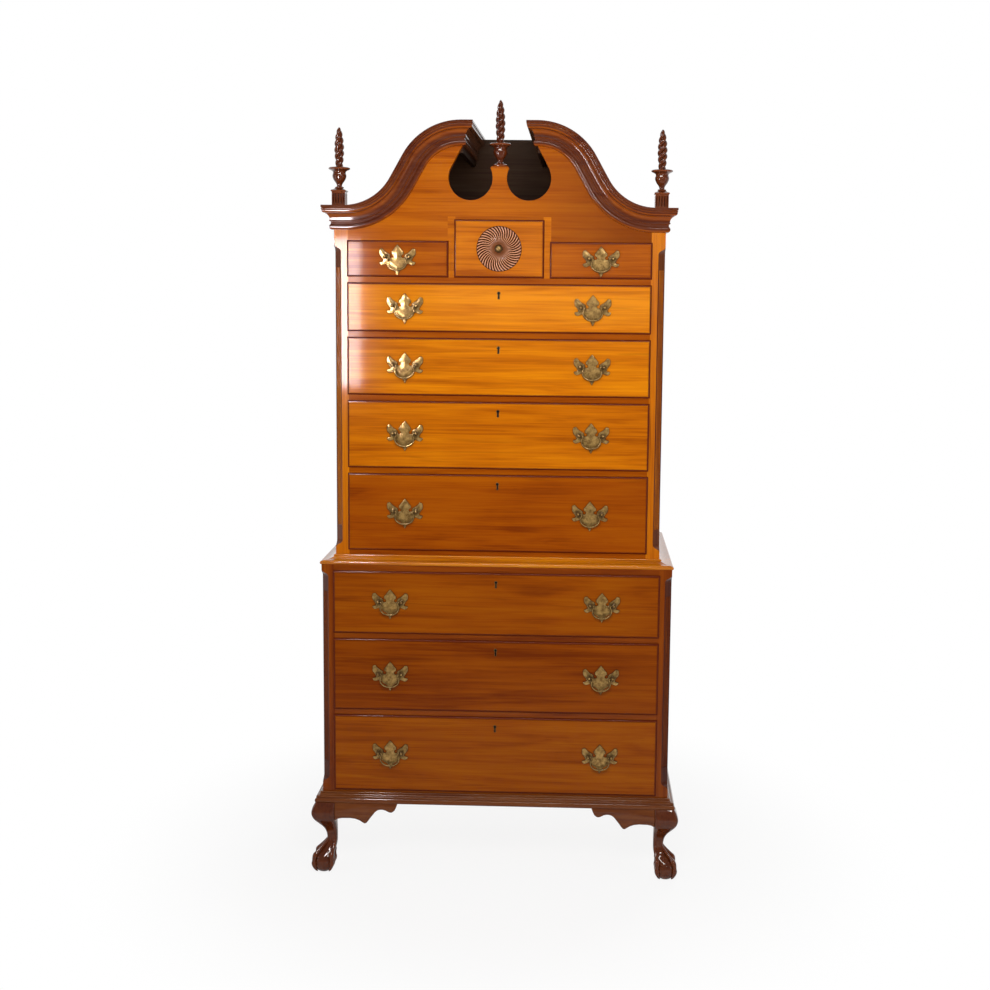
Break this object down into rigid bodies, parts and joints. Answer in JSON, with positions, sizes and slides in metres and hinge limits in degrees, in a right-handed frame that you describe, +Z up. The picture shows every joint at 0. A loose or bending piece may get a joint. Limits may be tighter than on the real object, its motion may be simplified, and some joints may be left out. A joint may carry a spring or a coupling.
{
  "type": "highboy chest of drawers",
  "caption": "Tall bonnet-top chest on chest with lipped drawers, swan-neck crown, flame finials, bail pulls and claw feet.",
  "frame": {"origin": "on the floor, at the middle of the footprint of the whole piece", "axes": "+Z up, the drawer fronts face -Y, +X to the right of someone who faces them"},
  "size_m": [1.0822, 0.5642, 2.2605],
  "materials": {
    "amber_mahogany": "polished amber-coloured mahogany",
    "red_mahogany": "polished red-brown mahogany",
    "plain_softwood": "unpolished secondary softwood",
    "brass": "aged brass"
  },
  "bodies": {
    "case": {"lower_left_side": "amber_mahogany", "lower_right_side": "amber_mahogany", "lower_corner_posts": "red_mahogany", "upper_left_side": "amber_mahogany", "upper_right_side": "amber_mahogany", "upper_corner_posts": "red_mahogany", "lower_back_boards": "plain_softwood", "lower_drawer_rails": "amber_mahogany", "case_boards": "plain_softwood", "upper_drawer_rails": "amber_mahogany", "drawer_runners": "plain_softwood", "base_moulding": "red_mahogany", "waist_moulding": "red_mahogany", "front_left_foot": "red_mahogany", "front_right_foot": "red_mahogany", "rear_feet": "red_mahogany", "knee_brackets": "red_mahogany", "cornice_mouldings": "red_mahogany", "tympanum": "amber_mahogany", "bonnet_boards": "plain_softwood", "upper_back_boards": "plain_softwood", "left_finial": "red_mahogany", "right_finial": "red_mahogany", "centre_finial": "red_mahogany"},
    "lower_bottom_drawer": {"lower_bottom_drawer": "amber_mahogany", "lower_bottom_brasses": "brass"},
    "lower_bottom_left_bail": {"lower_bottom_left_bail": "brass"},
    "lower_bottom_right_bail": {"lower_bottom_right_bail": "brass"},
    "lower_middle_drawer": {"lower_middle_drawer": "amber_mahogany", "lower_middle_brasses": "brass"},
    "lower_middle_left_bail": {"lower_middle_left_bail": "brass"},
    "lower_middle_right_bail": {"lower_middle_right_bail": "brass"},
    "lower_top_drawer": {"lower_top_drawer": "amber_mahogany", "lower_top_brasses": "brass"},
    "lower_top_left_bail": {"lower_top_left_bail": "brass"},
    "lower_top_right_bail": {"lower_top_right_bail": "brass"},
    "upper_first_drawer": {"upper_first_drawer": "amber_mahogany", "upper_first_brasses": "brass"},
    "upper_first_left_bail": {"upper_first_left_bail": "brass"},
    "upper_first_right_bail": {"upper_first_right_bail": "brass"},
    "upper_second_drawer": {"upper_second_drawer": "amber_mahogany", "upper_second_brasses": "brass"},
    "upper_second_left_bail": {"upper_second_left_bail": "brass"},
    "upper_second_right_bail": {"upper_second_right_bail": "brass"},
    "upper_third_drawer": {"upper_third_drawer": "amber_mahogany", "upper_third_brasses": "brass"},
    "upper_third_left_bail": {"upper_third_left_bail": "brass"},
    "upper_third_right_bail": {"upper_third_right_bail": "brass"},
    "upper_fourth_drawer": {"upper_fourth_drawer": "amber_mahogany", "upper_fourth_brasses": "brass"},
    "upper_fourth_left_bail": {"upper_fourth_left_bail": "brass"},
    "upper_fourth_right_bail": {"upper_fourth_right_bail": "brass"},
    "left_corner_drawer": {"left_corner_drawer": "amber_mahogany", "left_corner_brasses": "brass"},
    "left_corner_bail": {"left_corner_bail": "brass"},
    "carved_drawer": {"carved_drawer": "amber_mahogany", "carved_brasses": "brass"},
    "right_corner_drawer": {"right_corner_drawer": "amber_mahogany", "right_corner_brasses": "brass"},
    "right_corner_bail": {"right_corner_bail": "brass"}
  },
  "joints": [
    {"name": "lower_bottom_slide", "type": "slide", "parent": "case", "child": "lower_bottom_drawer", "axis": [0, -1, 0], "range_m": [0, 0.36]},
    {"name": "lower_bottom_left_bail_hinge", "type": "hinge", "parent": "lower_bottom_drawer", "child": "lower_bottom_left_bail", "pos_m": [-0.3075, -0.2729, 0.3705], "axis": [-1, 0, 0], "range_deg": [-14, 190]},
    {"name": "lower_bottom_right_bail_hinge", "type": "hinge", "parent": "lower_bottom_drawer", "child": "lower_bottom_right_bail", "pos_m": [0.3075, -0.2729, 0.3705], "axis": [-1, 0, 0], "range_deg": [-14, 190]},
    {"name": "lower_middle_slide", "type": "slide", "parent": "case", "child": "lower_middle_drawer", "axis": [0, -1, 0], "range_m": [0, 0.36]},
    {"name": "lower_middle_left_bail_hinge", "type": "hinge", "parent": "lower_middle_drawer", "child": "lower_middle_left_bail", "pos_m": [-0.3075, -0.2729, 0.6075], "axis": [-1, 0, 0], "range_deg": [-14, 190]},
    {"name": "lower_middle_right_bail_hinge", "type": "hinge", "parent": "lower_middle_drawer", "child": "lower_middle_right_bail", "pos_m": [0.3075, -0.2729, 0.6075], "axis": [-1, 0, 0], "range_deg": [-14, 190]},
    {"name": "lower_top_slide", "type": "slide", "parent": "case", "child": "lower_top_drawer", "axis": [0, -1, 0], "range_m": [0, 0.36]},
    {"name": "lower_top_left_bail_hinge", "type": "hinge", "parent": "lower_top_drawer", "child": "lower_top_left_bail", "pos_m": [-0.3075, -0.2729, 0.8225], "axis": [-1, 0, 0], "range_deg": [-14, 190]},
    {"name": "lower_top_right_bail_hinge", "type": "hinge", "parent": "lower_top_drawer", "child": "lower_top_right_bail", "pos_m": [0.3075, -0.2729, 0.8225], "axis": [-1, 0, 0], "range_deg": [-14, 190]},
    {"name": "upper_first_slide", "type": "slide", "parent": "case", "child": "upper_first_drawer", "axis": [0, -1, 0], "range_m": [0, 0.36]},
    {"name": "upper_first_left_bail_hinge", "type": "hinge", "parent": "upper_first_drawer", "child": "upper_first_left_bail", "pos_m": [-0.269, -0.2369, 1.0835], "axis": [-1, 0, 0], "range_deg": [-14, 190]},
    {"name": "upper_first_right_bail_hinge", "type": "hinge", "parent": "upper_first_drawer", "child": "upper_first_right_bail", "pos_m": [0.269, -0.2369, 1.0835], "axis": [-1, 0, 0], "range_deg": [-14, 190]},
    {"name": "upper_second_slide", "type": "slide", "parent": "case", "child": "upper_second_drawer", "axis": [0, -1, 0], "range_m": [0, 0.36]},
    {"name": "upper_second_left_bail_hinge", "type": "hinge", "parent": "upper_second_drawer", "child": "upper_second_left_bail", "pos_m": [-0.269, -0.2369, 1.311], "axis": [-1, 0, 0], "range_deg": [-14, 190]},
    {"name": "upper_second_right_bail_hinge", "type": "hinge", "parent": "upper_second_drawer", "child": "upper_second_right_bail", "pos_m": [0.269, -0.2369, 1.311], "axis": [-1, 0, 0], "range_deg": [-14, 190]},
    {"name": "upper_third_slide", "type": "slide", "parent": "case", "child": "upper_third_drawer", "axis": [0, -1, 0], "range_m": [0, 0.36]},
    {"name": "upper_third_left_bail_hinge", "type": "hinge", "parent": "upper_third_drawer", "child": "upper_third_left_bail", "pos_m": [-0.269, -0.2369, 1.5085], "axis": [-1, 0, 0], "range_deg": [-14, 190]},
    {"name": "upper_third_right_bail_hinge", "type": "hinge", "parent": "upper_third_drawer", "child": "upper_third_right_bail", "pos_m": [0.269, -0.2369, 1.5085], "axis": [-1, 0, 0], "range_deg": [-14, 190]},
    {"name": "upper_fourth_slide", "type": "slide", "parent": "case", "child": "upper_fourth_drawer", "axis": [0, -1, 0], "range_m": [0, 0.36]},
    {"name": "upper_fourth_left_bail_hinge", "type": "hinge", "parent": "upper_fourth_drawer", "child": "upper_fourth_left_bail", "pos_m": [-0.269, -0.2369, 1.678], "axis": [-1, 0, 0], "range_deg": [-14, 190]},
    {"name": "upper_fourth_right_bail_hinge", "type": "hinge", "parent": "upper_fourth_drawer", "child": "upper_fourth_right_bail", "pos_m": [0.269, -0.2369, 1.678], "axis": [-1, 0, 0], "range_deg": [-14, 190]},
    {"name": "left_corner_slide", "type": "slide", "parent": "case", "child": "left_corner_drawer", "axis": [0, -1, 0], "range_m": [0, 0.36]},
    {"name": "left_corner_bail_hinge", "type": "hinge", "parent": "left_corner_drawer", "child": "left_corner_bail", "pos_m": [-0.29025, -0.2369, 1.816], "axis": [-1, 0, 0], "range_deg": [-14, 190]},
    {"name": "carved_slide", "type": "slide", "parent": "case", "child": "carved_drawer", "axis": [0, -1, 0], "range_m": [0, 0.36]},
    {"name": "right_corner_slide", "type": "slide", "parent": "case", "child": "right_corner_drawer", "axis": [0, -1, 0], "range_m": [0, 0.36]},
    {"name": "right_corner_bail_hinge", "type": "hinge", "parent": "right_corner_drawer", "child": "right_corner_bail", "pos_m": [0.29025, -0.2369, 1.816], "axis": [-1, 0, 0], "range_deg": [-14, 190]}
  ]
}
